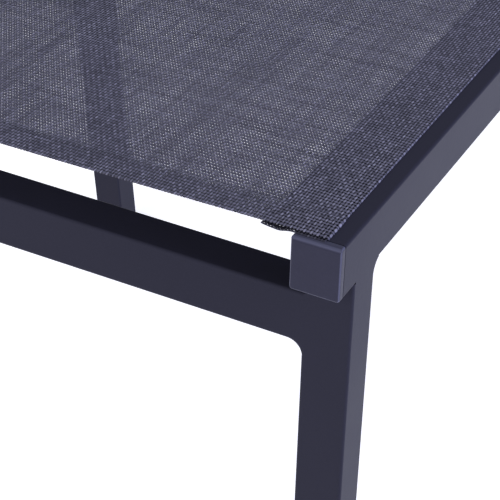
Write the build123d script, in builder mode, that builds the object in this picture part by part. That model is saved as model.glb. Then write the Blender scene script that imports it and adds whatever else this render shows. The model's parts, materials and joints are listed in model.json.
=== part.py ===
from build123d import *
import os
from math import cos, radians, sin, tan

# Reclining sun lounger: welded aluminium frame on three leg frames, a fixed seat sling, and a
# hinged backrest held up by a U-shaped stay whose foot rod stands in notched racks.
# Millimetres. X runs across, Y from the foot end to the head end, Z up. The origin is on the
# floor, in the middle of the footprint.

# ---- overall sizes
length = 1950.0            # over the end caps
width = 536.0              # over the side rails
rail_top = 490.0           # height of the top face of the side rails

# ---- tubes of the rails and leg frames
tube = 30.0                # width of the rails and legs
rail_height = 34.2
leg_depth = 27.4           # legs and crossbars, front to back
bar_height = 34.2
wall = 2.0
tube_radius = 1.8          # outer corner radius
weld_radius = 9.5          # hollow corner radius where tubes meet

# ---- groove that holds the sling's edge cord
groove_in = 12.0           # middle of the groove from the outer face of a rail
groove_bore = 8.5
groove_slot = 3.0
groove_wall = 1.6
groove_depth = 6.2         # middle of the bore below the top face
cord_diameter = 7.0

# ---- end caps of the side rails
cap_flange = 5.2
cap_edge = 1.3             # softened rim
cap_top_round = 3.0        # larger rounding of its top front edge
cap_relief = 0.6           # bevel on the back of the flange, which shows as a fine gap
cap_spigot = 15.0
cap_play = 0.2             # spigot to the inside of the tube, each side
cap_wall = 2.4

# ---- leg frames
foot_overhang = 14.6       # rail end past the front face of the foot legs
mid_offset = 522.0         # front face of the middle legs behind that of the foot legs, at the rails
head_offset = 1600.0       # the same for the head legs
rake = 7.0                 # degrees, middle and head legs lean back towards the floor
bar_drop = 49.6            # rail top to the top of the foot and middle crossbars
head_bar_drop = 120.0      # the head crossbar lies lower, clear of the folded stay
glide_flange = 5.0
glide_spigot = 18.0

# ---- backrest
back_length = 760.0        # hinge axis to the head end of its tubes
back_tube = 25.0
back_wall = 1.8
back_radius = 1.8
back_gap = 12.0            # outer face of a backrest tube to the inner face of a rail
back_start = 12.0          # hinge axis to the lower end of its tubes
back_groove_in = 10.0
back_flange = 3.0          # end caps of its tubes
back_spigot = 7.0
back_bar_u = 26.0          # along the backrest
back_bar_w = 15.0          # through it
back_bar_lift = 0.5        # bars above the underside of the tubes
back_bar_inset = 22.0      # lower bar from the lower end of the tubes
top_bar_inset = 30.0       # top bar from the head end of the tubes
head_clearance = 1.5       # hinge bolt heads pass under the rails by this much
head_gap = 8.0             # head end of the backrest tubes to the head bar

# ---- hinge
plate_thickness = 4.0
plate_half = 34.0          # half the length of a rail's hinge plate
plate_top_gap = 6.0        # its upper edge below the rail top
plate_nose = 16.0          # half the width of its lower edge, and that edge below the axis
plate_corner = 4.0
plate_rivet_in = 9.0       # rivets from the ends of the plate
turn_nose = 12.0           # radius of the turning plate round the axis
turn_plate_length = 70.0
turn_plate_edge = 5.0      # its upper edge below the top of the backrest tube
turn_plate_lap = 4.0       # its lower edge up the side of the tube
pin_diameter = 10.0
running_play = 0.05        # radial play of a turning fit
bush_wall = 1.5
bolt_head_height = 4.0
bolt_head_diameter = 17.0
nut_across = 15.0
nut_height = 7.0
bolt_end = 3.0             # bolt past its nut
bolt_soft = 1.5            # rounding of its two ends
spacer_wall = 2.5          # spacer wider than the bush
face_gap = 0.25            # between faces that turn past each other

# ---- stay: arms, foot rod, brace
stay_length = 300.0        # hinge to stay pivot, and stay pivot to foot rod
arm_width = 22.0
arm_thickness = 6.0
lug_thickness = 5.0
lug_inset = 10.0           # lug from the outer face of the backrest tube
lug_half = 18.0            # half the length of a lug where it meets the tube
stay_washer = 2.5
stay_washer_diameter = 18.0
stay_pin = 8.0
stay_head_diameter = 14.0
stay_head_height = 4.0
stay_nut_across = 13.0
stay_nut_height = 5.0
stay_pin_end = 1.0         # bolt past its nut
rod_diameter = 12.0
sleeve_wall = 1.5
sleeve_end = 2.0           # closed end of a sleeve
sleeve_gap = 1.0           # sleeve to the arm
brace_diameter = 12.0
brace_from_pivot = 150.0

# ---- racks
rack_ledge = 12.0
rack_ledge_depth = 14.0
rack_plate = 4.0
rack_margin = 22.0
rack_top_gap = 8.0         # its upper edge below the rail top
rack_radius = 5.0
ledge_radius = 2.0
rack_rivet_pitch = 120.0
rack_rivet_in = 20.0       # end rivets at least this far from the ends
notch_depth = 4.0
notch_radius = 9.0
notch_angles = [15.0, 27.0, 39.0, 51.0, 63.0]   # backrest angles of the notches, in degrees
rest_angle = 39.0          # the backrest as modelled
top_angle = 70.0           # upper end of its travel
foot_clearance = 0.3       # rod sleeve above the tips between the notches
rod_end_gap = 1.5

# ---- slings
sling = 1.2
sling_lift = 0.3           # sling above the rails
seat_sag = 2.0
back_sag = 4.0
seat_rear = 45.0           # rear edge of the seat sling in front of the hinge axis
back_sling_start = 18.0    # lower edge of the back sling from the hinge axis
back_sling_end = 754.0
sling_foot_inset = 0.5     # foot edge of the sling inside the end of the tube

# ---- tie bars between the rails, rest blocks and rivets
tie_length = 30.0          # along the rails
tie_height = 20.0
hip_bar_ahead = 115.0      # front face of the hip bar ahead of the hinge axis
block_length = 30.0
block_depth = 28.0
block_from_end = 95.0
block_lap = 2.0            # up the side of the rail
rivet_diameter = 5.0
rivet_head = 9.0
rivet_head_height = 1.6
rivet_taper = 25.0

# ---- worked out
half_l = length / 2
half_w = width / 2
rail_foot = -half_l + cap_flange
rail_head = half_l - cap_flange
rail_bottom = rail_top - rail_height
rail_mid = rail_top - rail_height / 2
rail_inner = half_w - tube
hinge_drop = rail_height + bolt_head_diameter / 2 + head_clearance
foot_front = rail_foot + foot_overhang
hinge_y = rail_head - tie_length - head_gap - back_length
hinge_z = rail_top - hinge_drop
back_outer = rail_inner - back_gap
back_inner = back_outer - back_tube
back_bottom = hinge_drop - back_tube
groove_x = half_w - groove_in
back_groove_x = back_outer - back_groove_in
sleeve_radius = rod_diameter / 2 + sleeve_wall
tip_z = hinge_z - sleeve_radius - foot_clearance
lug_outer = back_outer - lug_inset
lug_inner = lug_outer - lug_thickness
arm_outer = lug_inner - stay_washer
arm_inner = arm_outer - arm_thickness
rod_half = rail_inner - rack_plate - rod_end_gap
weld_reach = 3 * weld_radius
strip = 4.0                # drawn past a corner so that it can be rounded, then cut away
overcut = 1.0              # cuts run this far past a face
near = 0.01
sides = {"right": 1, "left": -1}

os.makedirs("parts", exist_ok=True)


def save(item, node):
    """Label a finished piece and write it to its own file."""
    item.part.label = node
    export_step(item.part, f"parts/{node}.step")


def groove_sketch(wide, tall, thick, radius, inset, side):
    """Section of a tube with a cord groove in its top face, round the tube's middle."""
    bore_x = side * (wide / 2 - inset)
    bore_y = tall / 2 - groove_depth
    with BuildSketch() as section:
        RectangleRounded(wide, tall, radius)
        RectangleRounded(wide - 2 * thick, tall - 2 * thick, radius / 2, mode=Mode.SUBTRACT)
        with BuildSketch(mode=Mode.PRIVATE) as channel_wall:
            with Locations((bore_x, bore_y)):
                Circle(groove_bore / 2 + groove_wall)
            with Locations((bore_x, bore_y + groove_depth / 2)):
                Rectangle(groove_bore + 2 * groove_wall, groove_depth)
            Rectangle(wide - thick, tall - thick, mode=Mode.INTERSECT)
        add(channel_wall.sketch)
        with Locations((bore_x, bore_y)):
            Circle(groove_bore / 2, mode=Mode.SUBTRACT)
        with Locations((bore_x, bore_y + groove_depth / 2)):
            Rectangle(groove_slot, groove_depth + overcut, mode=Mode.SUBTRACT)
    return section.sketch


def along_y(x, y, z):
    """A plane across the length, with its own x to the right and its own y upwards."""
    return Plane(origin=(x, y, z), x_dir=(1, 0, 0), z_dir=(0, -1, 0))


def tilted(u, w, x=0.0):
    """A plane across the raised backrest, u up its length and w above the hinge axis."""
    turn = radians(rest_angle)
    y = hinge_y + u * cos(turn) - w * sin(turn)
    z = hinge_z + u * sin(turn) + w * cos(turn)
    return Plane(origin=(x, y, z), x_dir=(1, 0, 0), z_dir=(0, -cos(turn), -sin(turn)))


def across(x, y=0.0, z=0.0, turn=0.0):
    """A plane along the length, with its own x towards the head end and its own y upwards."""
    tip = radians(turn)
    return Plane(origin=(x, y, z), x_dir=(0, cos(tip), sin(tip)), z_dir=(1, 0, 0))


# ------------------------------------------------------------------ side rails and end caps
for name, side in sides.items():
    rail_x = side * (half_w - tube / 2)
    profile = groove_sketch(tube, rail_height, wall, tube_radius, groove_in, side)
    with BuildPart() as side_rail:
        with BuildSketch(along_y(rail_x, rail_foot, rail_mid)):
            add(profile)
        extrude(amount=-(rail_head - rail_foot))
    save(side_rail, f"side_rail_{name}")

    for end, outwards in (("foot", -1), ("head", 1)):
        end_y = rail_foot if end == "foot" else rail_head
        inside = tube - 2 * (wall + cap_play)
        groove_bottom = rail_top - groove_depth - groove_bore / 2 - groove_wall
        spigot_height = groove_bottom - rail_bottom - wall - 2 * cap_play
        with BuildPart() as end_cap:
            with BuildSketch(along_y(rail_x, end_y, rail_mid)):
                RectangleRounded(tube, rail_height, tube_radius)
            extrude(amount=-outwards * cap_flange)
            end_faces = end_cap.faces().filter_by(Axis.Y).sort_by(Axis.Y)
            if outwards > 0:
                end_faces = end_faces[::-1]
            fillet(end_faces[0].edges(), cap_edge)
            chamfer(end_faces[-1].edges(), cap_relief)
            round_y = end_y + outwards * (cap_flange - cap_top_round)
            with BuildSketch(across(rail_x - tube)):
                with Locations((round_y + outwards * cap_top_round, rail_top)):
                    Rectangle(2 * cap_top_round, 2 * cap_top_round)
                with Locations((round_y, rail_top - cap_top_round)):
                    Circle(cap_top_round, mode=Mode.SUBTRACT)
            extrude(amount=2 * tube, mode=Mode.SUBTRACT)
            spigot_z = rail_bottom + wall + cap_play + spigot_height / 2
            with BuildSketch(along_y(rail_x, end_y, spigot_z)):
                RectangleRounded(inside, spigot_height, tube_radius)
                Rectangle(inside - 2 * cap_wall, spigot_height - 2 * cap_wall, mode=Mode.SUBTRACT)
            extrude(amount=outwards * cap_spigot)
        save(end_cap, f"end_cap_{end}_{name}")


# ------------------------------------------------------------------ leg frames
def leg(x_side, front_y, lean):
    """One leg tube under a rail, cut level at both ends, with a rounded weld behind its top."""
    slope = tan(radians(lean))
    depth = leg_depth / cos(radians(lean))
    drop = rail_bottom - glide_flange
    skin = wall / cos(radians(lean))
    middle_x = x_side * (half_w - tube / 2)
    with BuildPart() as item:
        with BuildSketch(across(middle_x - tube / 2)) as outline:
            with BuildLine():
                Polyline(
                    (front_y, rail_bottom),
                    (front_y + slope * drop, glide_flange),
                    (front_y + slope * drop + depth, glide_flange),
                    (front_y + depth, rail_bottom),
                    close=True,
                )
            make_face()
            with Locations((front_y + (depth + weld_reach) / 2, rail_bottom + strip / 2)):
                Rectangle(depth + weld_reach, strip)
            back_corner = outline.vertices().sort_by_distance((front_y + depth, rail_bottom))[0]
            fillet(back_corner, weld_radius)
            with Locations((front_y + (depth + weld_reach) / 2, rail_bottom + strip)):
                Rectangle(depth + 2 * weld_reach, 2 * strip, mode=Mode.SUBTRACT)
        extrude(amount=tube)
        with BuildSketch(across(middle_x - tube / 2 + wall)):
            with BuildLine():
                Polyline(
                    (front_y + skin - slope * overcut, rail_bottom + overcut),
                    (front_y + skin + slope * (drop + overcut), glide_flange - overcut),
                    (front_y + slope * (drop + overcut) + depth - skin, glide_flange - overcut),
                    (front_y + depth - skin - slope * overcut, rail_bottom + overcut),
                    close=True,
                )
            make_face()
        extrude(amount=tube - 2 * wall, mode=Mode.SUBTRACT)
        uprights = item.edges().filter_by(lambda e: e.length > drop - 2 * weld_radius)
        outer = uprights.filter_by(lambda e: abs(abs(e.center().X - middle_x) - tube / 2) < near)
        fillet(outer, tube_radius)
        with BuildSketch(along_y(middle_x, front_y + tube_radius, rail_bottom)):
            with Locations((0, tube_radius / 2)):
                Rectangle(tube, tube_radius)
            with Locations((0, rail_height / 2)):
                RectangleRounded(tube, rail_height, tube_radius, mode=Mode.SUBTRACT)
        extrude(amount=-(depth - tube_radius + weld_radius / 2))
    return item


def crossbar(front_y, drop, lean):
    """Tube between a pair of legs, flush with them, with rounded welds under its ends."""
    tip = radians(lean)
    down = drop + bar_height / 2 - rail_height
    front = Plane(
        origin=(0, front_y + tan(tip) * down, rail_bottom - down),
        x_dir=(1, 0, 0),
        z_dir=(0, -cos(tip), -sin(tip)),
    )
    span = 2 * rail_inner
    with BuildPart() as item:
        with BuildSketch(front) as outline:
            Rectangle(span, bar_height)
            with Locations((0, -weld_reach / 2)):
                with GridLocations(span + strip, 1, 2, 1):
                    Rectangle(strip, bar_height + weld_reach)
            under_corners = outline.vertices().filter_by(
                lambda v: abs(abs(v.X) - rail_inner) < near and abs(v.Y + bar_height / 2) < near
            )
            fillet(under_corners, weld_radius)
            with Locations((0, -weld_reach / 2)):
                with GridLocations(span + 2 * strip, 1, 2, 1):
                    Rectangle(2 * strip, bar_height + 2 * weld_reach, mode=Mode.SUBTRACT)
        extrude(amount=-leg_depth)
        long_edges = item.edges().filter_by(Axis.X).filter_by(lambda e: e.length > span / 2)
        fillet(long_edges, tube_radius)
        hollow = Plane(front.origin - front.z_dir * wall, x_dir=(1, 0, 0), z_dir=front.z_dir)
        with BuildSketch(hollow):
            Rectangle(span, bar_height - 2 * wall)
        extrude(amount=-(leg_depth - 2 * wall), mode=Mode.SUBTRACT)
        fill_up = front.y_dir * (bar_height / 2)
        fill_top = front.origin + fill_up - front.z_dir * (leg_depth / 2)
        with BuildSketch(Plane(fill_top, x_dir=(1, 0, 0), z_dir=front.y_dir)):
            Rectangle(span + 2 * tube_radius, leg_depth)
            Rectangle(span, leg_depth, mode=Mode.SUBTRACT)
            with GridLocations(span + tube, 1, 2, 1):
                RectangleRounded(tube, leg_depth, tube_radius, mode=Mode.SUBTRACT)
        extrude(amount=-(bar_height + weld_radius / 2))
    return item


def glide(x_side, front_y, lean):
    """Plastic foot glide: a softened pad under the tube and a hollow plug inside it."""
    slope = tan(radians(lean))
    depth = leg_depth / cos(radians(lean))
    skin = (wall + cap_play) / cos(radians(lean))
    drop = rail_bottom - glide_flange
    pad_y = front_y + slope * drop + depth / 2
    pad_x = x_side * (half_w - tube / 2)
    inside = tube - 2 * (wall + cap_play)
    plug = depth / 2 - skin
    lean_in = slope * glide_spigot
    with BuildPart() as item:
        with BuildSketch():
            with Locations((pad_x, pad_y)):
                RectangleRounded(tube, depth, tube_radius)
        extrude(amount=glide_flange)
        fillet(item.faces().sort_by(Axis.Z)[0].edges(), cap_edge)
        with BuildSketch(across(pad_x - inside / 2)):
            with BuildLine():
                Polyline(
                    (pad_y - plug, glide_flange),
                    (pad_y + plug, glide_flange),
                    (pad_y + plug - lean_in, glide_flange + glide_spigot),
                    (pad_y - plug - lean_in, glide_flange + glide_spigot),
                    close=True,
                )
            make_face()
        extrude(amount=inside)
        with BuildSketch(Plane.XY.offset(glide_flange)):
            with Locations((pad_x, pad_y - lean_in / 2)):
                Rectangle(inside - 2 * cap_wall, 2 * (plug - cap_wall) - lean_in)
        extrude(amount=glide_spigot, mode=Mode.SUBTRACT)
    return item


frames = {
    "foot": (foot_front, 0.0, bar_drop),
    "mid": (foot_front + mid_offset, rake, bar_drop),
    "head": (foot_front + head_offset, rake, head_bar_drop),
}
for frame_name, (front, lean, drop) in frames.items():
    save(crossbar(front, drop, lean), f"crossbar_{frame_name}")
    for name, side in sides.items():
        save(leg(side, front, lean), f"leg_{frame_name}_{name}")
        save(glide(side, front, lean), f"foot_glide_{frame_name}_{name}")


# ------------------------------------------------------------------ tie bars and rest blocks
tie_bars = {
    "hip_bar": (hinge_y - hip_bar_ahead, rail_bottom),
    "head_bar": (rail_head - tie_length, rail_mid - tie_height / 2),
}
for node, (bar_y, bar_z) in tie_bars.items():
    with BuildPart() as tie_bar:
        with BuildSketch(across(-rail_inner, bar_y + tie_length / 2, bar_z + tie_height / 2)):
            RectangleRounded(tie_length, tie_height, back_radius)
            RectangleRounded(
                tie_length - 2 * wall, tie_height - 2 * wall, back_radius / 2, mode=Mode.SUBTRACT
            )
        extrude(amount=2 * rail_inner)
    save(tie_bar, node)

block_top = hinge_z + back_bottom - sling_lift
block_bottom = rail_bottom - block_lap
block_y = rail_head - block_from_end
with BuildPart() as rest_blocks:
    for side in sides.values():
        with BuildSketch(across(side * rail_inner, block_y, (block_top + block_bottom) / 2)):
            RectangleRounded(block_length, block_top - block_bottom, back_radius)
        extrude(amount=-side * block_depth)
save(rest_blocks, "rest_blocks")

# ------------------------------------------------------------------ hinge plates on the rails
plate_up = rail_top - plate_top_gap
plate_down = hinge_z - plate_nose
plate_rivet_step = plate_half - plate_rivet_in
bush_radius = pin_diameter / 2 + running_play + bush_wall
for name, side in sides.items():
    with BuildPart() as hinge_plate:
        with BuildSketch(across(side * rail_inner)):
            with BuildLine():
                Polyline(
                    (hinge_y - plate_half, plate_up),
                    (hinge_y + plate_half, plate_up),
                    (hinge_y + plate_half, rail_bottom),
                    (hinge_y + plate_nose, plate_down),
                    (hinge_y - plate_nose, plate_down),
                    (hinge_y - plate_half, rail_bottom),
                    close=True,
                )
            make_face()
            with Locations((hinge_y, hinge_z)):
                Circle(pin_diameter / 2, mode=Mode.SUBTRACT)
        extrude(amount=-side * plate_thickness)
        fillet(hinge_plate.edges().filter_by(Axis.X).filter_by(GeomType.LINE), plate_corner)
        with Locations(Location((side * (rail_inner - plate_thickness / 2), hinge_y, rail_mid))):
            with GridLocations(1, 2 * plate_rivet_step, 1, 2):
                Cylinder(
                    rivet_diameter / 2, plate_thickness, rotation=(0, 90, 0), mode=Mode.SUBTRACT
                )
    save(hinge_plate, f"hinge_plate_{name}")

with BuildPart() as hinge_rivets:
    for side in sides.values():
        for step in (plate_rivet_step, -plate_rivet_step):
            with BuildSketch(across(side * rail_inner, hinge_y + step, rail_mid)):
                Circle(rivet_diameter / 2)
            extrude(amount=-side * plate_thickness)
            with BuildSketch(
                across(side * (rail_inner - plate_thickness), hinge_y + step, rail_mid)
            ):
                Circle(rivet_head / 2)
            extrude(amount=-side * rivet_head_height, taper=rivet_taper)
save(hinge_rivets, "hinge_rivets")

# The bolt is fast in the rail's plate. The backrest's plate turns on it, on a nylon bush.
turn_plate_outer = rail_inner - plate_thickness - bolt_head_height
turn_plate_inner = turn_plate_outer - plate_thickness
hinge_bolt_length = rail_inner - turn_plate_inner + face_gap + nut_height + bolt_end
with BuildPart() as hinge_bolts:
    for side in sides.values():
        with BuildSketch(across(side * rail_inner, hinge_y, hinge_z)):
            Circle(pin_diameter / 2)
        extrude(amount=-side * hinge_bolt_length)
        with BuildSketch(across(side * rail_inner, hinge_y, hinge_z)):
            Circle(bolt_head_diameter / 2)
        extrude(amount=side * bolt_head_height)
    fillet(hinge_bolts.faces().filter_by(Axis.X).sort_by(Axis.X)[0].edges(), bolt_soft)
    fillet(hinge_bolts.faces().filter_by(Axis.X).sort_by(Axis.X)[-1].edges(), bolt_soft)
save(hinge_bolts, "hinge_bolts")

with BuildPart() as hinge_nuts:
    for side in sides.values():
        with BuildSketch(across(side * (turn_plate_inner - face_gap), hinge_y, hinge_z)):
            RegularPolygon(nut_across / 2, 6, major_radius=False)
            Circle(pin_diameter / 2, mode=Mode.SUBTRACT)
        extrude(amount=-side * nut_height)
save(hinge_nuts, "hinge_nuts")

with BuildPart() as hinge_spacers:
    for side in sides.values():
        with BuildSketch(across(side * (rail_inner - plate_thickness), hinge_y, hinge_z)):
            Circle(bush_radius + spacer_wall)
            Circle(pin_diameter / 2, mode=Mode.SUBTRACT)
        extrude(amount=-side * (bolt_head_height - face_gap))
save(hinge_spacers, "hinge_spacers")

# ------------------------------------------------------------------ racks
foot_near = 2 * stay_length * cos(radians(top_angle))
foot_far = 2 * stay_length
rack_start = hinge_y + foot_near - rack_margin
rack_end = hinge_y + foot_far + rack_margin
rack_length = rack_end - rack_start
rack_middle = (rack_start + rack_end) / 2
rack_up = rail_top - rack_top_gap
ledge_bottom = tip_z - rack_ledge_depth
rack_rivet_count = int((rack_length - 2 * rack_rivet_in) // rack_rivet_pitch) + 1
for name, side in sides.items():
    with BuildPart() as rack:
        with BuildSketch(across(side * rail_inner, rack_middle, (rack_up + ledge_bottom) / 2)):
            RectangleRounded(rack_length, rack_up - ledge_bottom, rack_radius)
        extrude(amount=-side * rack_plate)
        with BuildSketch(across(side * (rail_inner - rack_plate))):
            with Locations((rack_middle, tip_z - rack_ledge_depth / 2)):
                RectangleRounded(rack_length, rack_ledge_depth, ledge_radius)
            for angle in [0.0] + notch_angles:
                foot_y = hinge_y + 2 * stay_length * cos(radians(angle))
                with Locations((foot_y, tip_z - notch_depth + notch_radius)):
                    Circle(notch_radius, mode=Mode.SUBTRACT)
        extrude(amount=-side * rack_ledge)
        with Locations(Location((side * (rail_inner - rack_plate / 2), rack_middle, rail_mid))):
            with GridLocations(1, rack_rivet_pitch, 1, rack_rivet_count):
                Cylinder(rivet_diameter / 2, rack_plate, rotation=(0, 90, 0), mode=Mode.SUBTRACT)
    save(rack, f"rack_{name}")

with BuildPart() as rack_rivets:
    for side in sides.values():
        for index in range(rack_rivet_count):
            step = rack_middle + (index - (rack_rivet_count - 1) / 2) * rack_rivet_pitch
            with BuildSketch(across(side * rail_inner, step, rail_mid)):
                Circle(rivet_diameter / 2)
            extrude(amount=-side * rack_plate)
            with BuildSketch(across(side * (rail_inner - rack_plate), step, rail_mid)):
                Circle(rivet_head / 2)
            extrude(amount=-side * rivet_head_height, taper=rivet_taper)
save(rack_rivets, "rack_rivets")


# ------------------------------------------------------------------ slings and edge cords
def sling_sketch(half_span, flat_from, sag):
    """Section of a sling: flat on the rails and hanging in a shallow curve between them."""
    under, over = sling_lift, sling_lift + sling
    with BuildSketch() as section:
        with BuildLine():
            Polyline((flat_from, under), (half_span, under), (half_span, over), (flat_from, over))
            ThreePointArc((flat_from, over), (0, over - sag), (-flat_from, over))
            Polyline((-flat_from, over), (-half_span, over), (-half_span, under), (-flat_from, under))
            ThreePointArc((-flat_from, under), (0, under - sag), (flat_from, under))
        make_face()
    return section.sketch


seat_front = rail_foot + sling_foot_inset
seat_length = hinge_y - seat_rear - seat_front
seat_profile = sling_sketch(groove_x, rail_inner, seat_sag)
with BuildPart() as seat_sling:
    with BuildSketch(along_y(0, seat_front, rail_top)):
        add(seat_profile)
    extrude(amount=-seat_length)
save(seat_sling, "seat_sling")

back_profile = sling_sketch(back_groove_x, back_inner, back_sag)
with BuildPart() as back_sling:
    with BuildSketch(tilted(back_sling_start, hinge_drop)):
        add(back_profile)
    extrude(amount=-(back_sling_end - back_sling_start))
save(back_sling, "back_sling")

for name, side in sides.items():
    with BuildPart() as seat_cord:
        with BuildSketch(along_y(side * groove_x, seat_front, rail_top - groove_depth)):
            Circle(cord_diameter / 2)
        extrude(amount=-seat_length)
    save(seat_cord, f"seat_edge_cord_{name}")
    cord_x = side * back_groove_x
    with BuildPart() as back_cord:
        with BuildSketch(tilted(back_sling_start, hinge_drop - groove_depth, cord_x)):
            Circle(cord_diameter / 2)
        extrude(amount=-(back_sling_end - back_sling_start))
    save(back_cord, f"back_edge_cord_{name}")

# ------------------------------------------------------------------ backrest frame
back_mid_w = hinge_drop - back_tube / 2
for name, side in sides.items():
    back_x = side * (back_outer - back_tube / 2)
    profile = groove_sketch(back_tube, back_tube, back_wall, back_radius, back_groove_in, side)
    with BuildPart() as back_rail:
        with BuildSketch(tilted(back_start, back_mid_w, back_x)):
            add(profile)
        extrude(amount=-(back_length - back_start))
    save(back_rail, f"back_rail_{name}")

    spigot_w = back_bottom + back_wall + cap_play + back_spigot / 2
    for end, place, outwards in (("lower", back_start, -1), ("upper", back_length, 1)):
        with BuildPart() as back_cap:
            with BuildSketch(tilted(place, back_mid_w, back_x)):
                RectangleRounded(back_tube, back_tube, back_radius)
            extrude(amount=-outwards * back_flange)
            with BuildSketch(tilted(place, spigot_w, back_x)):
                RectangleRounded(back_tube - 2 * (back_wall + cap_play), back_spigot, back_radius)
            extrude(amount=outwards * cap_spigot)
        save(back_cap, f"back_cap_{end}_{name}")

bars = {
    "back_lower_bar": back_start + back_bar_inset,
    "back_top_bar": back_length - top_bar_inset - back_bar_u,
}
for node, start in bars.items():
    with BuildPart() as back_bar:
        centre = tilted(start + back_bar_u / 2, back_bottom + back_bar_lift + back_bar_w / 2).origin
        with BuildSketch(across(-back_inner, centre.Y, centre.Z, rest_angle)):
            RectangleRounded(back_bar_u, back_bar_w, back_radius)
            RectangleRounded(
                back_bar_u - 2 * back_wall,
                back_bar_w - 2 * back_wall,
                back_radius / 2,
                mode=Mode.SUBTRACT,
            )
        extrude(amount=2 * back_inner)
    save(back_bar, node)

# Plates on the outer faces of the backrest tubes reach down to the hinge axis.
for name, side in sides.items():
    with BuildPart() as turn_plate:
        with BuildSketch(across(side * turn_plate_inner, hinge_y, hinge_z, rest_angle)):
            with BuildLine():
                Polyline(
                    (0, -turn_nose),
                    (turn_nose, -turn_nose),
                    (turn_plate_length, back_bottom + turn_plate_lap),
                    (turn_plate_length, hinge_drop - turn_plate_edge),
                    (back_start, hinge_drop - turn_plate_edge),
                    (-turn_nose, turn_nose / 2),
                    (-turn_nose, 0),
                )
                RadiusArc((-turn_nose, 0), (0, -turn_nose), turn_nose)
            make_face()
            Circle(bush_radius, mode=Mode.SUBTRACT)
        extrude(amount=side * plate_thickness)
    save(turn_plate, f"turn_plate_{name}")

with BuildPart() as hinge_bushes:
    for side in sides.values():
        with BuildSketch(across(side * turn_plate_inner, hinge_y, hinge_z)):
            Circle(bush_radius)
            Circle(pin_diameter / 2 + running_play, mode=Mode.SUBTRACT)
        extrude(amount=side * plate_thickness)
save(hinge_bushes, "hinge_bushes")

# ------------------------------------------------------------------ lugs for the stay
lug_nose = arm_width / 2
for name, side in sides.items():
    with BuildPart() as stay_lug:
        with BuildSketch(across(side * lug_inner, hinge_y, hinge_z, rest_angle)):
            with BuildLine():
                Polyline(
                    (stay_length - lug_nose, 0),
                    (stay_length - lug_half, back_bottom),
                    (stay_length + lug_half, back_bottom),
                    (stay_length + lug_nose, 0),
                )
                RadiusArc((stay_length + lug_nose, 0), (stay_length - lug_nose, 0), lug_nose)
            make_face()
            with Locations((stay_length, 0)):
                Circle(stay_pin / 2, mode=Mode.SUBTRACT)
        extrude(amount=side * lug_thickness)
    save(stay_lug, f"stay_lug_{name}")

# ------------------------------------------------------------------ stay
pivot = tilted(stay_length, 0).origin
foot_y = hinge_y + 2 * stay_length * cos(radians(rest_angle))
for name, side in sides.items():
    with BuildPart() as stay_arm:
        with BuildSketch(across(side * arm_inner, pivot.Y, pivot.Z, -rest_angle)):
            with Locations((stay_length / 2, 0)):
                SlotCenterToCenter(stay_length, arm_width)
            Circle(stay_pin / 2 + running_play, mode=Mode.SUBTRACT)
            with Locations((stay_length, 0)):
                Circle(rod_diameter / 2, mode=Mode.SUBTRACT)
            with Locations((brace_from_pivot, 0)):
                Circle(brace_diameter / 2, mode=Mode.SUBTRACT)
        extrude(amount=side * arm_thickness)
    save(stay_arm, f"stay_arm_{name}")

rod_end = rod_half - sleeve_end
sleeve_start = arm_outer + sleeve_gap
with BuildPart() as stay_foot_rod:
    with BuildSketch(across(-rod_end, foot_y, hinge_z)):
        Circle(rod_diameter / 2)
    extrude(amount=2 * rod_end)
save(stay_foot_rod, "stay_foot_rod")

with BuildPart() as rod_sleeves:
    for side in sides.values():
        with BuildSketch(across(side * sleeve_start, foot_y, hinge_z)):
            Circle(sleeve_radius)
            Circle(rod_diameter / 2, mode=Mode.SUBTRACT)
        extrude(amount=side * (rod_end - sleeve_start))
        with BuildSketch(across(side * rod_end, foot_y, hinge_z)):
            Circle(sleeve_radius)
        extrude(amount=side * sleeve_end)
save(rod_sleeves, "rod_sleeves")

brace_y = pivot.Y + brace_from_pivot * cos(radians(rest_angle))
brace_z = pivot.Z - brace_from_pivot * sin(radians(rest_angle))
with BuildPart() as stay_brace:
    with BuildSketch(across(-arm_outer, brace_y, brace_z)):
        Circle(brace_diameter / 2)
    extrude(amount=2 * arm_outer)
save(stay_brace, "stay_brace")

stay_head_face = arm_inner - face_gap
stay_bolt_length = lug_outer - stay_head_face + stay_nut_height + stay_pin_end
with BuildPart() as stay_bolts:
    for side in sides.values():
        with BuildSketch(across(side * stay_head_face, pivot.Y, pivot.Z)):
            Circle(stay_pin / 2)
        extrude(amount=side * stay_bolt_length)
        with BuildSketch(across(side * stay_head_face, pivot.Y, pivot.Z)):
            Circle(stay_head_diameter / 2)
        extrude(amount=-side * stay_head_height)
save(stay_bolts, "stay_bolts")

with BuildPart() as stay_nuts:
    for side in sides.values():
        with BuildSketch(across(side * lug_outer, pivot.Y, pivot.Z)):
            RegularPolygon(stay_nut_across / 2, 6, major_radius=False)
            Circle(stay_pin / 2, mode=Mode.SUBTRACT)
        extrude(amount=side * stay_nut_height)
save(stay_nuts, "stay_nuts")

with BuildPart() as stay_washers:
    for side in sides.values():
        with BuildSketch(across(side * lug_inner, pivot.Y, pivot.Z)):
            Circle(stay_washer_diameter / 2)
            Circle(stay_pin / 2, mode=Mode.SUBTRACT)
        extrude(amount=-side * (stay_washer - face_gap))
save(stay_washers, "stay_washers")
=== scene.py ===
"""Looks of the reclining sun lounger: woven mesh slings, powder coat, moulded plastic and steel.

Metres. X runs across, Y from the foot end to the head end, Z up, with the floor at zero.
"""

import json
from math import cos, pi, radians, sin

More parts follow.
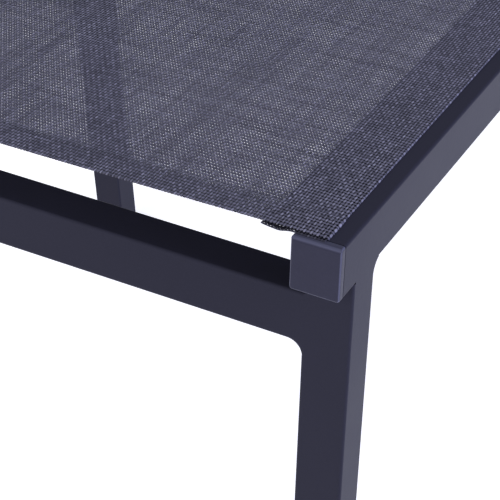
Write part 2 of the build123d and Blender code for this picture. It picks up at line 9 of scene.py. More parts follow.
import bmesh
import bpy
import numpy as np
from mathutils import Euler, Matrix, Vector


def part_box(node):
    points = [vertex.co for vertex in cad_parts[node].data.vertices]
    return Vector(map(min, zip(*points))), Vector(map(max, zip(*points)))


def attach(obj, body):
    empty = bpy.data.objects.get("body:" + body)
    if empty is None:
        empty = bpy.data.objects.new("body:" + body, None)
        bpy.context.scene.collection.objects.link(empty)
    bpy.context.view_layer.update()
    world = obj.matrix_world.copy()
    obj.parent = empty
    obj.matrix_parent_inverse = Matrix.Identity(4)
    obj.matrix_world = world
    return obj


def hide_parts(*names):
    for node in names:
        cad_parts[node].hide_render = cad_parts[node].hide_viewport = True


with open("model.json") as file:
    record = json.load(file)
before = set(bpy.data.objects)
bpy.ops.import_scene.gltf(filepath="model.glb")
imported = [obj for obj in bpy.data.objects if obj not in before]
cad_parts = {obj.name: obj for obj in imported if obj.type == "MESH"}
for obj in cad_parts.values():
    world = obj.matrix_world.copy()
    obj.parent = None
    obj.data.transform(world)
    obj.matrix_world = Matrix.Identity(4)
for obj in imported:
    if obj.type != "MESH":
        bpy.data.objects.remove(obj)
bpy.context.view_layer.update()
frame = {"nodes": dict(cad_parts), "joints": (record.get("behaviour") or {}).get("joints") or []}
MM = 0.001

# ------------------------------------------------------------------ sizes
# mesh
YARN_PITCH_ACROSS = 1.97 * MM      # between yarns that run from foot to head
YARN_PITCH_ALONG = 2.89 * MM       # between yarns that run from side to side
WARP_HALF = (0.39, 0.28)           # half a yarn's width in pitches, from dull yarns to light ones
WEFT_HALF = (0.37, 0.27)
COLUMNS_BEFORE = 400.0             # keep the numbers of all columns and rows above zero
ROWS_BEFORE = 900.0
YARN_LEVEL = 4.0                   # a yarn's height above a hole, in half widths
CLOTH = 0.36 * MM                  # thickness of one layer of mesh
LAYER = 0.52 * MM                  # from the middle of one layer to the middle of the next

# slings
SEAM_WIDTH = 37.5 * MM             # doubled band along each side
HEM_WIDTH = 20.5 * MM              # doubled band along each end
HEM_SLOPE = 2.5 * MM               # over which the top layer comes down behind the hem
FOLD_OFFSET = 0.35 * MM            # middle of the fold outside the middle of the slot
TOP_BEND = 1.5 * LAYER             # radius of the top layer's turn down into the slot
UNDER_BEND = 0.5 * LAYER           # radius of the lower layer's turn out of it
GROOVE_DEPTH = 6.2 * MM            # middle of the cord below the top face
CORD_WRAP = 3.78 * MM              # middle of the cloth from the middle of the cord
WRAP_GAP = 6.0                     # degrees left open where the wrap meets the slot
TOP_TUCK = (1.8 * MM, 0.1 * MM)    # the top layer in the slot, from and to, below the top face
STRAND_DEPTH = 1.9 * MM            # start of the wrap below the top face
RISE_DEPTHS = (1.6 * MM, 0.8 * MM)  # the lower layer on its way up, below the top face
LEDGE_END = 4 * MM                 # first and last points of the flat part, from its ends
SEAT_SAG = 2 * MM
BACK_SAG = 4 * MM
SAG_SHAPE = 1.15                   # power of the sag's curve across, where 1 is a parabola
SEAT_REACH = 0.5 * MM              # foot hem past the end of the seat's plain solid
BACK_START = 18 * MM               # lower hem of the back sling, up from the hinge
BACK_END = 754 * MM                # its upper hem

# free ends of the lower layer
END_REACH = 2 * MM                 # past the hem
END_DROOP = 1.9 * MM               # below the hem
DROOP_CLEAR = 1 * MM               # from the rail to where the droop starts
DROOP_GROWTH = 9 * MM              # across, to its full depth
DROOP_FADE = 12 * MM               # across, up to the layer's inner edge
DROOP_FADE_SHAPE = 0.7
DROOP_LENGTH = 14 * MM             # along, to about a third of its depth
FINE_LENGTH = 60 * MM              # stretch with close points at each end
COARSE_START = 70 * MM             # start of the stretch with wide ones

# stitches
STITCH_PITCH = 4.2 * MM
STITCH_LENGTH = 3.3 * MM
THREAD = 0.35 * MM
THREAD_PROUD = 0.2 * THREAD        # middle of the thread above the cloth
STITCH_INSET = 2.5 * MM            # rows from the edge that they hold down
HEM_ROW_GAP = 4 * MM               # between the two rows of a hem
ROW_END = 4 * MM                   # rows from the seams and hems they run up to

# view
CAMERA_PLACE = (0.5588, -1.6556, 0.9830)
CAMERA_TURN = (56.22, -1.245, 27.683)
CAMERA_LENS = 122.81
FLOOR_HALF = 9.0

recline = next(j for j in frame["joints"] if j["name"] == "back_recline")
HINGE = Vector(recline["pos_m"])
REST_ANGLE = -radians(recline["range_deg"][0])


# ------------------------------------------------------------------ node helpers
class Tree:
    """A node tree with short calls for the nodes that the finishes are made of."""

    def __init__(self, tree):
        self.tree = tree

    def node(self, kind, **settings):
        made = self.tree.nodes.new(kind)
        for key, value in settings.items():
            setattr(made, key, value)
        return made

    def put(self, value, socket):
        if isinstance(value, bpy.types.NodeSocket):
            self.tree.links.new(value, socket)
        else:
            socket.default_value = value

    def math(self, operation, *values, clamp=False):
        made = self.node("ShaderNodeMath", operation=operation, use_clamp=clamp)
        for socket, value in zip(made.inputs, values):
            self.put(value, socket)
        return made.outputs[0]

    def plus(self, first, second):
        return self.math("ADD", first, second)

    def minus(self, first, second):
        return self.math("SUBTRACT", first, second)

    def times(self, first, second):
        return self.math("MULTIPLY", first, second)

    def larger(self, first, second):
        return self.math("MAXIMUM", first, second)

    def mix(self, share, first, second):
        """Colours, by a share from 0 to 1."""
        made = self.node("ShaderNodeMix", data_type="RGBA")
        self.put(share, made.inputs[0])
        self.put(first, made.inputs[6])
        self.put(second, made.inputs[7])
        return made.outputs[2]

    def between(self, value, low, high, to_low=0.0, to_high=1.0, smooth=False):
        """A value's place between low and high, mapped to the range from to_low to to_high."""
        made = self.node("ShaderNodeMapRange", interpolation_type="SMOOTHSTEP" if smooth else "LINEAR")
        for socket, number in zip(made.inputs, (value, low, high, to_low, to_high)):
            self.put(number, socket)
        return made.outputs[0]

    def vector(self, x, y, z=0.0):
        made = self.node("ShaderNodeCombineXYZ")
        for socket, value in zip(made.inputs, (x, y, z)):
            self.put(value, socket)
        return made.outputs[0]

    def parts(self, vector):
        made = self.node("ShaderNodeSeparateXYZ")
        self.put(vector, made.inputs[0])
        return made.outputs[0], made.outputs[1], made.outputs[2]

    def noise(self, vector, scale, detail=2.0, roughness=0.5):
        made = self.node("ShaderNodeTexNoise")
        self.put(vector, made.inputs["Vector"])
        made.inputs["Scale"].default_value = scale
        made.inputs["Detail"].default_value = detail
        made.inputs["Roughness"].default_value = roughness
        return made.outputs["Fac"]

    def bump(self, height, distance, strength, normal=None):
        made = self.node("ShaderNodeBump")
        made.inputs["Strength"].default_value = strength
        made.inputs["Distance"].default_value = distance
        self.put(height, made.inputs["Height"])
        if normal is not None:
            self.put(normal, made.inputs["Normal"])
        return made.outputs["Normal"]


def finish_of(name, specular_tint=(1, 1, 1, 1), **constants):
    """A new material and its tree, with an output and one Principled shader."""
    material = bpy.data.materials.new(name)
    material.use_nodes = True
    tree = Tree(material.node_tree)
    material.node_tree.nodes.clear()
    shader = tree.node("ShaderNodeBsdfPrincipled")
    output = tree.node("ShaderNodeOutputMaterial")
    material.node_tree.links.new(shader.outputs[0], output.inputs[0])
    shader.inputs["Specular Tint"].default_value = specular_tint
    for key, value in constants.items():
        shader.inputs[key.replace("_", " ")].default_value = value
    return material, tree, shader


def object_place(tree):
    return tree.node("ShaderNodeTexCoord").outputs["Object"]


# ------------------------------------------------------------------ finishes
def powder_coat():
    """Satin anthracite powder coat: faint orange peel, fine grain and slow changes of gloss."""
    material, tree, shader = finish_of(
        "satin_powder_coat", specular_tint=(0.60, 0.60, 0.90, 1), IOR=1.13
    )
    place = object_place(tree)
    cloud = tree.noise(place, 9.0, 3.0)
    peel = tree.noise(place, 420.0, 2.0)
    grain = tree.noise(place, 2600.0, 1.0)
    colour = tree.mix(cloud, (0.0195, 0.0192, 0.0290, 1), (0.0245, 0.0240, 0.0360, 1))
    speck = tree.times(tree.between(grain, 0.35, 0.75), 0.30)
    colour = tree.mix(speck, colour, (0.034, 0.0335, 0.052, 1))
    tree.put(colour, shader.inputs["Base Color"])
    gloss = tree.between(cloud, 0.3, 0.7, 0.36, 0.43)
    rough = tree.plus(gloss, tree.between(grain, 0.3, 0.7, -0.02, 0.03))
    tree.put(rough, shader.inputs["Roughness"])
    peeled = tree.bump(peel, 0.00006, 0.6)
    tree.put(tree.bump(grain, 0.00002, 0.5, peeled), shader.inputs["Normal"])
    return material


def painted_edge_highlight(tree, scuff):
    """Painted highlight: 1 on edges that are rounded and square to the axes, and part of that on faces that
    look up, painted lighter as if lit from above.
    """
    facing = tree.node("ShaderNodeVectorMath", operation="ABSOLUTE")
    tree.put(tree.node("ShaderNodeNewGeometry").outputs["Normal"], facing.inputs[0])
    x, y, z = tree.parts(facing.outputs[0])
    squarest = tree.larger(tree.larger(x, y), z)
    # painted highlight where the rounded edges catch the light
    rounded = tree.between(squarest, 0.999, 0.82, smooth=True)
    # faces that look up are painted lighter, as if lit from above
    painted_top_highlight = tree.between(z, 0.75, 1.0, 0.0, 0.45)
    return tree.times(tree.larger(rounded, painted_top_highlight), tree.between(scuff, 0.0, 1.0, 0.75, 1.0))


def moulded(name, dark, light, rough, grain_scale, grain_depth, tint=(1, 1, 1, 1), rim_highlight=None):
    """Moulded plastic or rubber with a fine spark-eroded grain and faint flow marks.

    The colour given for the rim is a painted highlight on its rounded edges, and in part on the faces that
    look up, painted lighter as if lit from above.
    """
    material, tree, shader = finish_of(name, specular_tint=tint, IOR=1.48)
    place = object_place(tree)
    cloud = tree.noise(place, 60.0, 3.0)
    grain = tree.noise(place, grain_scale, 3.0, 0.6)
    scuff = tree.between(tree.noise(place, 240.0, 4.0, 0.7), 0.55, 0.8)
    shade = tree.math("ADD", tree.times(cloud, 0.6), tree.times(scuff, 0.5), clamp=True)
    colour = tree.mix(shade, (*dark, 1), (*light, 1))
    if rim_highlight:
        # Painted highlight on the rounded edges and on the faces that look up.
        colour = tree.mix(painted_edge_highlight(tree, scuff), colour, (*rim_highlight, 1))
    tree.put(colour, shader.inputs["Base Color"])
    tree.put(tree.between(grain, 0.2, 0.8, rough - 0.06, rough + 0.08), shader.inputs["Roughness"])
    tree.put(tree.bump(grain, grain_depth, 0.8), shader.inputs["Normal"])
    return material


def stainless():
    """Plain stainless screws and rivets, with fine turning marks."""
    material, tree, shader = finish_of("stainless_fasteners", Metallic=1.0)
    place = object_place(tree)
    marks = tree.noise(place, 3200.0, 2.0)
    cloud = tree.noise(place, 160.0, 2.0)
    tree.put(tree.mix(cloud, (0.42, 0.42, 0.43, 1), (0.56, 0.56, 0.57, 1)), shader.inputs["Base Color"])
    tree.put(tree.between(marks, 0.3, 0.7, 0.24, 0.38), shader.inputs["Roughness"])
    tree.put(tree.bump(marks, 0.00002, 0.6), shader.inputs["Normal"])
    return material


def sewing_thread():
    """Twisted polyester thread."""
    material, tree, shader = finish_of("sewing_thread", IOR=1.5)
    twist = tree.noise(object_place(tree), 2200.0, 2.0)
    tree.put(tree.mix(twist, (0.035, 0.035, 0.05, 1), (0.065, 0.066, 0.09, 1)), shader.inputs["Base Color"])
    tree.put(tree.between(twist, 0.3, 0.7, 0.45, 0.6), shader.inputs["Roughness"])
    tree.put(tree.bump(twist, 0.0001, 0.6), shader.inputs["Normal"])
    return material


def woven_mesh(name, half_step, brightness_in_painted_shade=1.0):
    """Plain weave of coated yarn, read from the cloth's own map, which is in metres.

    The holes between the yarns are open. A lower layer is woven half a step aside, so that its
    yarns close the holes of the layer above it. Its colour can be darkened with painted shade, for
    the shadow of the layer above; the share given is how much of its brightness is left.
    """
    material, tree, shader = finish_of(name, specular_tint=(0.80, 0.80, 1.0, 1), IOR=1.42)
    cloth = tree.node("ShaderNodeUVMap", uv_map="cloth").outputs[0]
    across, along, _ = tree.parts(cloth)
    shift = 0.5 if half_step else 0.0
    column = tree.plus(tree.math("DIVIDE", across, YARN_PITCH_ACROSS), COLUMNS_BEFORE + shift)
    row = tree.plus(tree.math("DIVIDE", along, YARN_PITCH_ALONG), ROWS_BEFORE + shift)
    column_number, row_number = tree.math("FLOOR", column), tree.math("FLOOR", row)

    def yarn_tone(number, run, salt):
        """Slow change along each yarn, different from yarn to yarn."""
        own = tree.vector(tree.times(number, 7.31), tree.times(run, 16.0), salt)
        shared = tree.vector(tree.times(number, 0.21), tree.times(run, 2.5), salt + 5)
        return tree.plus(tree.times(tree.noise(own, 1.0), 0.85), tree.times(tree.noise(shared, 1.0), 0.15))

    def off_middle(value):
        return tree.math("ABSOLUTE", tree.minus(tree.math("FRACT", value), 0.5))

    def parity(value):
        """1 for even numbers and -1 for odd ones."""
        return tree.minus(1.0, tree.times(tree.math("MODULO", value, 2.0), 2.0))

    def wave(value):
        return tree.math("COSINE", tree.times(tree.minus(value, 0.5), pi))

    def half_width(tone, widths, irregularity):
        """Half a yarn's width: fuller where it is dull, and a little different at each crossing."""
        return tree.plus(tree.between(tone, 0.34, 0.66, *widths), tree.times(uneven, irregularity))

    def inside(distance, half):
        return tree.between(tree.minus(distance, half), -0.03, 0.03, 1.0, 0.0)

    def roundness(distance, half):
        """Round across the yarn."""
        share = tree.math("DIVIDE", distance, half)
        return tree.math("SQRT", tree.larger(tree.minus(1.0, tree.times(share, share)), 0.0))

    def yarn_height(rise, distance, half, on_yarn):
        crimped = tree.plus(tree.times(rise, 0.5), roundness(distance, half))
        return tree.plus(crimped, tree.times(on_yarn, YARN_LEVEL))

    def yarn_colour(tone, dark, light):
        return tree.mix(tree.between(tone, 0.30, 0.70), (*dark, 1), (*light, 1))

    warp_tone = yarn_tone(column_number, along, 1.5)
    weft_tone = yarn_tone(row_number, across, 8.5)
    crossing = tree.node("ShaderNodeTexWhiteNoise", noise_dimensions="2D")
    tree.put(tree.vector(column_number, row_number), crossing.inputs["Vector"])
    chance = crossing.outputs["Value"]
    uneven = tree.minus(chance, 0.5)

    from_warp, from_weft = off_middle(column), off_middle(row)
    warp_half = half_width(warp_tone, WARP_HALF, 0.10)
    weft_half = half_width(weft_tone, WEFT_HALF, 0.08)
    on_warp, on_weft = inside(from_warp, warp_half), inside(from_weft, weft_half)
    warp_rise = tree.times(parity(column_number), wave(row))
    weft_rise = tree.times(tree.times(parity(row_number), wave(column)), -1.0)
    warp_height = yarn_height(warp_rise, from_warp, warp_half, on_warp)
    weft_height = yarn_height(weft_rise, from_weft, weft_half, on_weft)
    height = tree.larger(warp_height, weft_height)
    warp_on_top = tree.between(tree.minus(warp_height, weft_height), -0.05, 0.05)

    warp_colour = yarn_colour(warp_tone, (0.135, 0.131, 0.180), (0.320, 0.314, 0.415))
    weft_colour = yarn_colour(weft_tone, (0.078, 0.076, 0.110), (0.205, 0.200, 0.275))
    colour = tree.mix(warp_on_top, weft_colour, warp_colour)
    # Painted shade: the yarns' low flanks, towards the holes and where they pass under, are darkened.
    shaded_flank = tree.mix(0.93, colour, (0.001, 0.001, 0.003, 1))
    colour = tree.mix(tree.between(height, YARN_LEVEL + 0.60, YARN_LEVEL + 1.35), shaded_flank, colour)
    dullness = tree.between(chance, 0.0, 1.0, 0.45, 0.0)
    colour = tree.mix(dullness, colour, (0.010, 0.0098, 0.018, 1))
    # Painted shade: the colour is darkened towards near black by the share given.
    colour = tree.mix(brightness_in_painted_shade, (0.004, 0.004, 0.007, 1), colour)
    tree.put(colour, shader.inputs["Base Color"])
    tree.put(tree.between(tree.math("FRACT", height), 0.0, 1.0, 0.52, 0.44), shader.inputs["Roughness"])
    tree.put(tree.bump(height, 0.00030, 1.0), shader.inputs["Normal"])
    tree.put(tree.larger(on_warp, on_weft), shader.inputs["Alpha"])
    return material


CAP_DARK, CAP_LIGHT = (0.0085, 0.0082, 0.0135), (0.0165, 0.0160, 0.0260)
coat = powder_coat()
mesh_top = woven_mesh("woven_mesh", half_step=False)
# The lower layer is the same cloth, painted darker as painted shade.
shaded_under_mesh = woven_mesh("woven_mesh_under_painted_shade", half_step=True, brightness_in_painted_shade=0.3)
thread = sewing_thread()
steel = stainless()
# The caps get a painted highlight on their rims and on the faces that look up.
cap_plastic = moulded(
    "cap_plastic", CAP_DARK, CAP_LIGHT, 0.50, 1100.0, 0.00008,
    tint=(0.50, 0.50, 0.85, 1), rim_highlight=(0.080, 0.082, 0.122),
)
back_cap_plastic = moulded("back_cap_plastic", CAP_DARK, CAP_LIGHT, 0.50, 1100.0, 0.00008)
glide_plastic = moulded("glide_plastic", (0.010, 0.010, 0.012), (0.022, 0.022, 0.026), 0.55, 900.0, 0.00008)
rack_plastic = moulded("rack_plastic", (0.012, 0.012, 0.015), (0.026, 0.026, 0.031), 0.50, 1300.0, 0.00007)
bush_plastic = moulded("bush_plastic", (0.020, 0.020, 0.022), (0.034, 0.034, 0.038), 0.38, 1800.0, 0.00003)
rest_rubber = moulded("rest_rubber", (0.007, 0.007, 0.008), (0.018, 0.018, 0.019), 0.72, 700.0, 0.00012)
cord_plastic = moulded(
    "edge_cord_plastic", (0.012, 0.012, 0.014), (0.024, 0.024, 0.028), 0.42, 1500.0, 0.00003
)

FINISH_OF_SLOT = {
    "frame_coat": coat,
    "stay_coat": coat,
    "cap_plastic": cap_plastic,
    "glide_plastic": glide_plastic,
    "sling_fabric": mesh_top,
    "edge_cord": cord_plastic,
    "rack_plastic": rack_plastic,
    "bush_plastic": bush_plastic,
    "rest_rubber": rest_rubber,
    "fasteners": steel,
}


def dress_nodes():
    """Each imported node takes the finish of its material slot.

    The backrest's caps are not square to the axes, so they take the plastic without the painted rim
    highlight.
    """
    for name, node in frame["nodes"].items():
        for index, held in enumerate(node.data.materials):
            finish = FINISH_OF_SLOT[held.name.split(".")[0]]
            node.data.materials[index] = back_cap_plastic if name.startswith("back_cap") else finish


dress_nodes()


# ------------------------------------------------------------------ paths and cloth
MIRROR = np.array([-1, 1])


def arc(centre, radius, start, end, steps):
    """Points on an arc, angles in degrees from +X, counted towards +Z."""
    angles = np.radians(np.linspace(start, end, steps))
    return np.stack([centre[0] + radius * np.cos(angles), centre[1] + radius * np.sin(angles)], 1)


def normals_of(path):
    """Unit normals on the left of an open 2-D path."""
    ahead = np.gradient(path, axis=0)
    ahead /= np.linalg.norm(ahead, axis=1, keepdims=True)
    return np.stack([-ahead[:, 1], ahead[:, 0]], 1)


def run_of(path):
    """Length along a path up to each of its points."""
    return np.concatenate([[0], np.cumsum(np.linalg.norm(np.diff(path, axis=0), axis=1))])


def eased(share):
    """A share from 0 to 1 that starts and stops gently."""
    return share * share * (3 - 2 * share)


def sagging(x, inner_x, sag):
    """How far the cloth hangs at a place across: nothing on the rails and most in the middle."""
    share = np.minimum(np.abs(x) / inner_x, 1)
    return sag * (1 - share ** 2) ** SAG_SHAPE


def outwards(mesh):
    """Turns a closed mesh's faces outwards."""
    work = bmesh.new()
    work.from_mesh(mesh)
    bmesh.ops.recalc_face_normals(work, faces=work.faces)
    work.to_mesh(mesh)
    work.free()


def piece_of(name, mesh):
    """A smooth object in the scene from a mesh that is in its place."""
    mesh.polygons.foreach_set("use_smooth", np.ones(len(mesh.polygons), bool))
    piece = bpy.data.objects.new(name, mesh)
    bpy.context.scene.collection.objects.link(piece)
    return piece


def cloth_piece(name, section, lengthways, place, material, settle=None):
    """A closed thin solid: a section across, carried along a path lengthways.

    section is a path of (x, height) and lengthways a path of (distance, rise). Both bend, and
    the cloth keeps its thickness round both bends. settle gives how far the cloth hangs lower at
    a place across and along. The cloth map is its flat, unfolded size.
    """
    side = normals_of(section)
    lift = normals_of(lengthways)
    across, along = run_of(section), run_of(lengthways)
    across = across - across[-1] / 2
    columns, rows = len(section), len(lengthways)
    points = []
    for face in (0.5, -0.5):
        for j in range(rows):
            distance, rise = lengthways[j] + face * CLOTH * lift[j]
            flat = section + side * rise
            height = flat[:, 1] if settle is None else flat[:, 1] - settle(flat[:, 0], distance)
            points.append(np.stack([flat[:, 0], np.full(columns, distance), height], 1))
    points = np.concatenate(points)
    layer = columns * rows

    def at(face, j, i):
        return face * layer + j * columns + i

    faces = []
    for j in range(rows - 1):
        for i in range(columns - 1):
            faces.append((at(0, j, i), at(0, j, i + 1), at(0, j + 1, i + 1), at(0, j + 1, i)))
            faces.append((at(1, j, i), at(1, j + 1, i), at(1, j + 1, i + 1), at(1, j, i + 1)))
    for j in range(rows - 1):
        last = columns - 1
        faces.append((at(0, j, 0), at(0, j + 1, 0), at(1, j + 1, 0), at(1, j, 0)))
        faces.append((at(0, j, last), at(1, j, last), at(1, j + 1, last), at(0, j + 1, last)))
    for i in range(columns - 1):
        last = rows - 1
        faces.append((at(0, 0, i), at(1, 0, i), at(1, 0, i + 1), at(0, 0, i + 1)))
        faces.append((at(0, last, i), at(0, last, i + 1), at(1, last, i + 1), at(1, last, i)))

    mesh = bpy.data.meshes.new(name)
    mesh.from_pydata([tuple(place(*p)) for p in points], [], faces)
    mesh.update()
    flat_map = mesh.uv_layers.new(name="cloth")
    corner = np.zeros(len(mesh.loops), np.int32)
    mesh.loops.foreach_get("vertex_index", corner)
    on_face = corner % layer
    uv = np.stack([across[on_face % columns], along[on_face // columns]], 1)
    flat_map.data.foreach_set("uv", uv.astype(np.float32).ravel())
    mesh.materials.append(material)
    outwards(mesh)
    return piece_of(name, mesh), across[-1] - across[0], along[-1]


# ------------------------------------------------------------------ slings
def top_section(slot_x, inner_x, top, sag):
    """The upper layer from slot to slot: flat on the rails and hanging between them."""
    edge = slot_x + FOLD_OFFSET
    rest = top + TOP_BEND
    deep, shallow = TOP_TUCK
    down = np.linspace((edge + TOP_BEND, top - deep), (edge + TOP_BEND, top - shallow), 4)
    turn = arc((edge, top), TOP_BEND, 0, 90, 7)
    ledge = np.linspace((edge - LEDGE_END, rest), (inner_x + LEDGE_END, rest), 4)
    xs = np.linspace(inner_x, 0, 26)
    hanging = np.stack([xs, rest - sagging(xs, inner_x, sag)], 1)
    half = np.concatenate([down, turn, ledge, hanging])
    other = half[:-1][::-1] * MIRROR
    return np.concatenate([half, other])[::-1]


def seam_section(slot_x, inner_x, top, sag, side):
    """The turned-in edge: from the slot round the cord, up again and inwards under the top layer."""
    edge = slot_x + FOLD_OFFSET
    start_x, rise_x = edge + TOP_BEND, edge + UNDER_BEND
    start_angle = 90 + np.degrees(np.arcsin((slot_x - start_x) / CORD_WRAP))
    end_angle = 90 + np.degrees(np.arcsin((slot_x - rise_x) / CORD_WRAP))
    strand = np.array([[start_x, top - STRAND_DEPTH]])
    cord = (slot_x, top - GROOVE_DEPTH)
    round_cord = arc(cord, CORD_WRAP, start_angle - WRAP_GAP, end_angle - 360 + WRAP_GAP, 28)
    up = np.array([(rise_x, top - depth) for depth in RISE_DEPTHS])
    turn = arc((edge, top), UNDER_BEND, 0, 90, 5)
    xs = np.linspace(edge - 3 * MM, slot_x - SEAM_WIDTH, 22)
    under = np.stack([xs, top + UNDER_BEND - sagging(xs, inner_x, sag)], 1)
    path = np.concatenate([strand, round_cord, up, turn, under])
    return path if side > 0 else path * MIRROR


def hemmed_run(start, end):
    """Lengthways path of the top layer, with both ends rolled under and sewn down."""
    roll = LAYER / 2
    under = np.linspace((start + HEM_WIDTH, 0), (start + roll, 0), 7)
    fold = arc((start + roll, roll), roll, 270, 90, 9)
    over = np.linspace((start + roll, LAYER), (start + HEM_WIDTH, LAYER), 8)
    step = np.linspace(0, 1, 7)
    down = np.stack([start + HEM_WIDTH + step * HEM_SLOPE, LAYER * (1 - eased(step))], 1)
    half = np.concatenate([under, fold[1:], over[1:], down[1:]])
    other = half[::-1] * MIRROR + np.array([start + end, 0])
    middle = np.linspace((half[-1, 0], 0), (other[0, 0], 0), 90)
    return np.concatenate([half, middle[1:-1], other])


def seam_run(start, end):
    """Lengthways path of a lower layer, with close points near its free ends."""
    fine = np.linspace(0, FINE_LENGTH, 25)
    coarse = np.linspace(start + COARSE_START, end - COARSE_START, 60)
    ys = np.concatenate([start - END_REACH + fine, coarse, end + END_REACH - fine[::-1]])
    return np.stack([ys, np.zeros(len(ys))], 1)


def end_droop(slot_x, inner_x, start, end):
    """How far a lower layer's free ends hang below the hem, clear of the rail."""

    def droop(x, y):
        clear = np.clip((inner_x - DROOP_CLEAR - np.abs(x)) / DROOP_GROWTH, 0, 1)
        near_edge = np.clip((np.abs(x) - slot_x + SEAM_WIDTH) / DROOP_FADE, 0, 1)
        off_end = min(abs(y - start), abs(end - y))
        depth = END_DROOP * eased(clear) * near_edge ** DROOP_FADE_SHAPE
        return depth * np.exp(-off_end / DROOP_LENGTH)

    return droop


def at_seat(x, y, z):
    return x, y, z


def at_back(x, u, w):
    """A point of the raised backrest, u up its length and w above the hinge axis."""
    return (
        x,
        HINGE.y + u * cos(REST_ANGLE) - w * sin(REST_ANGLE),
        HINGE.z + u * sin(REST_ANGLE) + w * cos(REST_ANGLE),
    )


# ------------------------------------------------------------------ stitches
def stitch_tree():
    """Stitches in a row along a curve: spindle-shaped threads, one for each pitch."""
    tree = bpy.data.node_groups.new("stitch_row", "GeometryNodeTree")
    face = tree.interface
    face.new_socket("Line", in_out="INPUT", socket_type="NodeSocketGeometry")
    for name, value in (("Pitch", STITCH_PITCH), ("Stitch Length", STITCH_LENGTH), ("Thread", THREAD)):
        socket = face.new_socket(name, in_out="INPUT", socket_type="NodeSocketFloat")
        socket.default_value = value
    face.new_socket("Finish", in_out="INPUT", socket_type="NodeSocketMaterial")
    face.new_socket("Stitches", in_out="OUTPUT", socket_type="NodeSocketGeometry")
    new, link = tree.nodes.new, tree.links.new
    given, result = new("NodeGroupInput"), new("NodeGroupOutput")
    points = new("GeometryNodeCurveToPoints")
    points.mode = "LENGTH"
    link(given.outputs["Line"], points.inputs["Curve"])
    link(given.outputs["Pitch"], points.inputs["Length"])
    ball = new("GeometryNodeMeshUVSphere")
    ball.inputs["Segments"].default_value = 6
    ball.inputs["Rings"].default_value = 5
    ball.inputs["Radius"].default_value = 0.5
    wide = new("ShaderNodeCombineXYZ")
    link(given.outputs["Thread"], wide.inputs[0])
    link(given.outputs["Thread"], wide.inputs[1])
    link(given.outputs["Stitch Length"], wide.inputs[2])
    drawn = new("GeometryNodeTransform")
    link(ball.outputs["Mesh"], drawn.inputs["Geometry"])
    link(wide.outputs[0], drawn.inputs["Scale"])
    each = new("GeometryNodeInstanceOnPoints")
    link(points.outputs["Points"], each.inputs["Points"])
    link(drawn.outputs[0], each.inputs["Instance"])
    link(points.outputs["Rotation"], each.inputs["Rotation"])
    real = new("GeometryNodeRealizeInstances")
    link(each.outputs[0], real.inputs[0])
    painted = new("GeometryNodeSetMaterial")
    link(real.outputs[0], painted.inputs["Geometry"])
    link(given.outputs["Finish"], painted.inputs["Material"])
    link(painted.outputs[0], result.inputs[0])
    return tree


STITCH_ROW = stitch_tree()


def stitches(name, lines):
    """One mesh of stitches along several lines of points."""
    curve = bpy.data.curves.new(name + "_lines", "CURVE")
    curve.dimensions = "3D"
    for line in lines:
        spline = curve.splines.new("POLY")
        spline.points.add(len(line) - 1)
        for point, where in zip(spline.points, line):
            point.co = (*where, 1)
    guide = bpy.data.objects.new(name + "_lines", curve)
    bpy.context.scene.collection.objects.link(guide)
    modifier = guide.modifiers.new("stitches", "NODES")
    modifier.node_group = STITCH_ROW
    for item in STITCH_ROW.interface.items_tree:
        if item.in_out == "INPUT" and item.name == "Finish":
            modifier[item.identifier] = thread
    bpy.context.view_layer.update()
    graph = bpy.context.evaluated_depsgraph_get()
    mesh = bpy.data.meshes.new_from_object(guide.evaluated_get(graph), depsgraph=graph)
    mesh.name = name
    guide.modifiers.remove(modifier)
    bpy.data.objects.remove(guide)
    return piece_of(name, mesh)


def stitch_lines(slot_x, inner_x, top, sag, start, end, place):
    """One row of stitches along each seam's inner edge and two along each hem."""

    def thread_at(x, layers=0):
        """Middle of the thread at a place across, on so many layers more than one."""
        cloth = top + TOP_BEND - sagging(x, inner_x, sag) + layers * LAYER
        return cloth + CLOTH / 2 + THREAD_PROUD

    lines = []
    ys = np.linspace(start + HEM_WIDTH + ROW_END, end - HEM_WIDTH - ROW_END, 60)
    for side in (1, -1):
        x = side * (slot_x - SEAM_WIDTH + STITCH_INSET)
        lines.append([place(x, y, thread_at(x)) for y in ys])
    xs = np.linspace(-slot_x + ROW_END, slot_x - ROW_END, 90)
    for hem, inwards in ((start, 1), (end, -1)):
        for inset in (STITCH_INSET, STITCH_INSET + HEM_ROW_GAP):
            y = hem + inwards * (HEM_WIDTH - inset)
            lines.append([place(x, y, thread_at(x, layers=1)) for x in xs])
    return lines


# ------------------------------------------------------------------ whole slings
def make_sling(name, body, node, slot_x, inner_x, top, sag, start, end, place):
    """A whole sling: top layer with rolled hems, turned-in side seams and rows of stitches."""
    section = top_section(slot_x, inner_x, top, sag)
    cloth, width, length = cloth_piece(f"{name}_cloth", section, hemmed_run(start, end), place, mesh_top)
    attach(cloth, body)
    parts = []
    droop = end_droop(slot_x, inner_x, start, end)
    for side, word in ((1, "right"), (-1, "left")):
        path = seam_section(slot_x, inner_x, top, sag, side)
        seam, _, _ = cloth_piece(f"{name}_seam_{word}", path, seam_run(start, end), place, shaded_under_mesh, droop)
        parts.append(seam)
    parts.append(stitches(f"{name}_stitches", stitch_lines(slot_x, inner_x, top, sag, start, end, place)))
    for part in parts:
        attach(part, body)
    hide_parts(node)


seat_low, seat_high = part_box("seat_sling")
rail_low, rail_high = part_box("side_rail_right")
make_sling(
    "seat", "frame", "seat_sling",
    slot_x=seat_high.x, inner_x=rail_low.x, top=rail_high.z, sag=SEAT_SAG,
    start=seat_low.y - SEAT_REACH, end=seat_high.y, place=at_seat,
)
back_sling_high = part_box("back_sling")[1]
back_rail_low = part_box("back_rail_right")[0]
make_sling(
    "back", "backrest", "back_sling",
    slot_x=back_sling_high.x, inner_x=back_rail_low.x, top=rail_high.z - HINGE.z, sag=BACK_SAG,
    start=BACK_START, end=BACK_END, place=at_back,
)


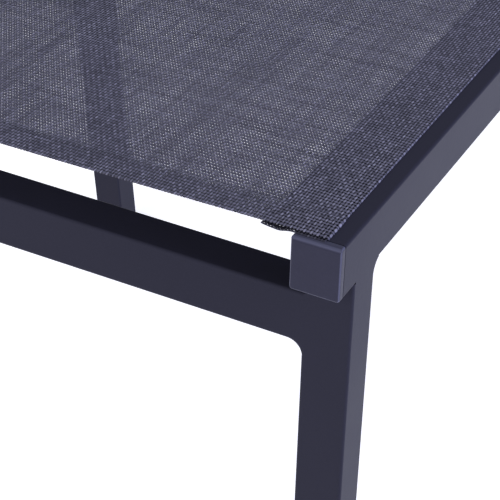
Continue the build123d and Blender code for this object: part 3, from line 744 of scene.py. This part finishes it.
# ------------------------------------------------------------------ floor, lights and camera
def studio_floor():
    mesh = bpy.data.meshes.new("floor")
    corners = [(x * FLOOR_HALF, y * FLOOR_HALF, 0) for x, y in ((-1, -1), (1, -1), (1, 1), (-1, 1))]
    mesh.from_pydata(corners, [], [(0, 1, 2, 3)])
    floor = bpy.data.objects.new("floor", mesh)
    bpy.context.scene.collection.objects.link(floor)
    material, tree, shader = finish_of("pale_floor", Roughness=0.9)
    shade = tree.noise(object_place(tree), 3.0, 2.0)
    tree.put(tree.mix(shade, (0.86, 0.86, 0.87, 1), (0.90, 0.90, 0.91, 1)), shader.inputs["Base Color"])
    shader.inputs["Emission Color"].default_value = (1, 1, 1, 1)
    shader.inputs["Emission Strength"].default_value = 0.62
    mesh.materials.append(material)


def softbox(name, place, aim, width, height, power, colour=(1, 1, 1)):
    data = bpy.data.lights.new(name, "AREA")
    data.shape, data.size, data.size_y = "RECTANGLE", width, height
    data.energy, data.color = power, colour
    light = bpy.data.objects.new(name, data)
    light.location = place
    light.rotation_euler = (Vector(aim) - Vector(place)).to_track_quat("-Z", "Y").to_euler()
    bpy.context.scene.collection.objects.link(light)


def studio_world():
    world = bpy.data.worlds.new("studio")
    world.use_nodes = True
    background = world.node_tree.nodes["Background"]
    background.inputs["Color"].default_value = (0.76, 0.79, 0.92, 1)
    background.inputs["Strength"].default_value = 0.45
    bpy.context.scene.world = world


def corner_camera():
    lens = bpy.data.cameras.new("camera")
    lens.lens, lens.sensor_width = CAMERA_LENS, 36.0
    lens.clip_start, lens.clip_end = 0.05, 60.0
    camera = bpy.data.objects.new("camera", lens)
    camera.location = CAMERA_PLACE
    camera.rotation_euler = Euler([radians(turn) for turn in CAMERA_TURN])
    bpy.context.scene.collection.objects.link(camera)
    bpy.context.scene.camera = camera
    bpy.context.scene.view_settings.view_transform = "Standard"


studio_floor()
softbox("side_softbox", (3.2, -0.6, 1.5), (0, -0.2, 0.4), 3.2, 2.2, 112, (0.66, 0.70, 1.0))
softbox("front_softbox", (-1.6, -3.4, 1.6), (0, -0.4, 0.4), 2.4, 1.8, 52)
softbox("top_softbox", (0.4, 0.4, 3.4), (0, 0, 0.4), 3.0, 3.6, 24)
studio_world()
corner_camera()
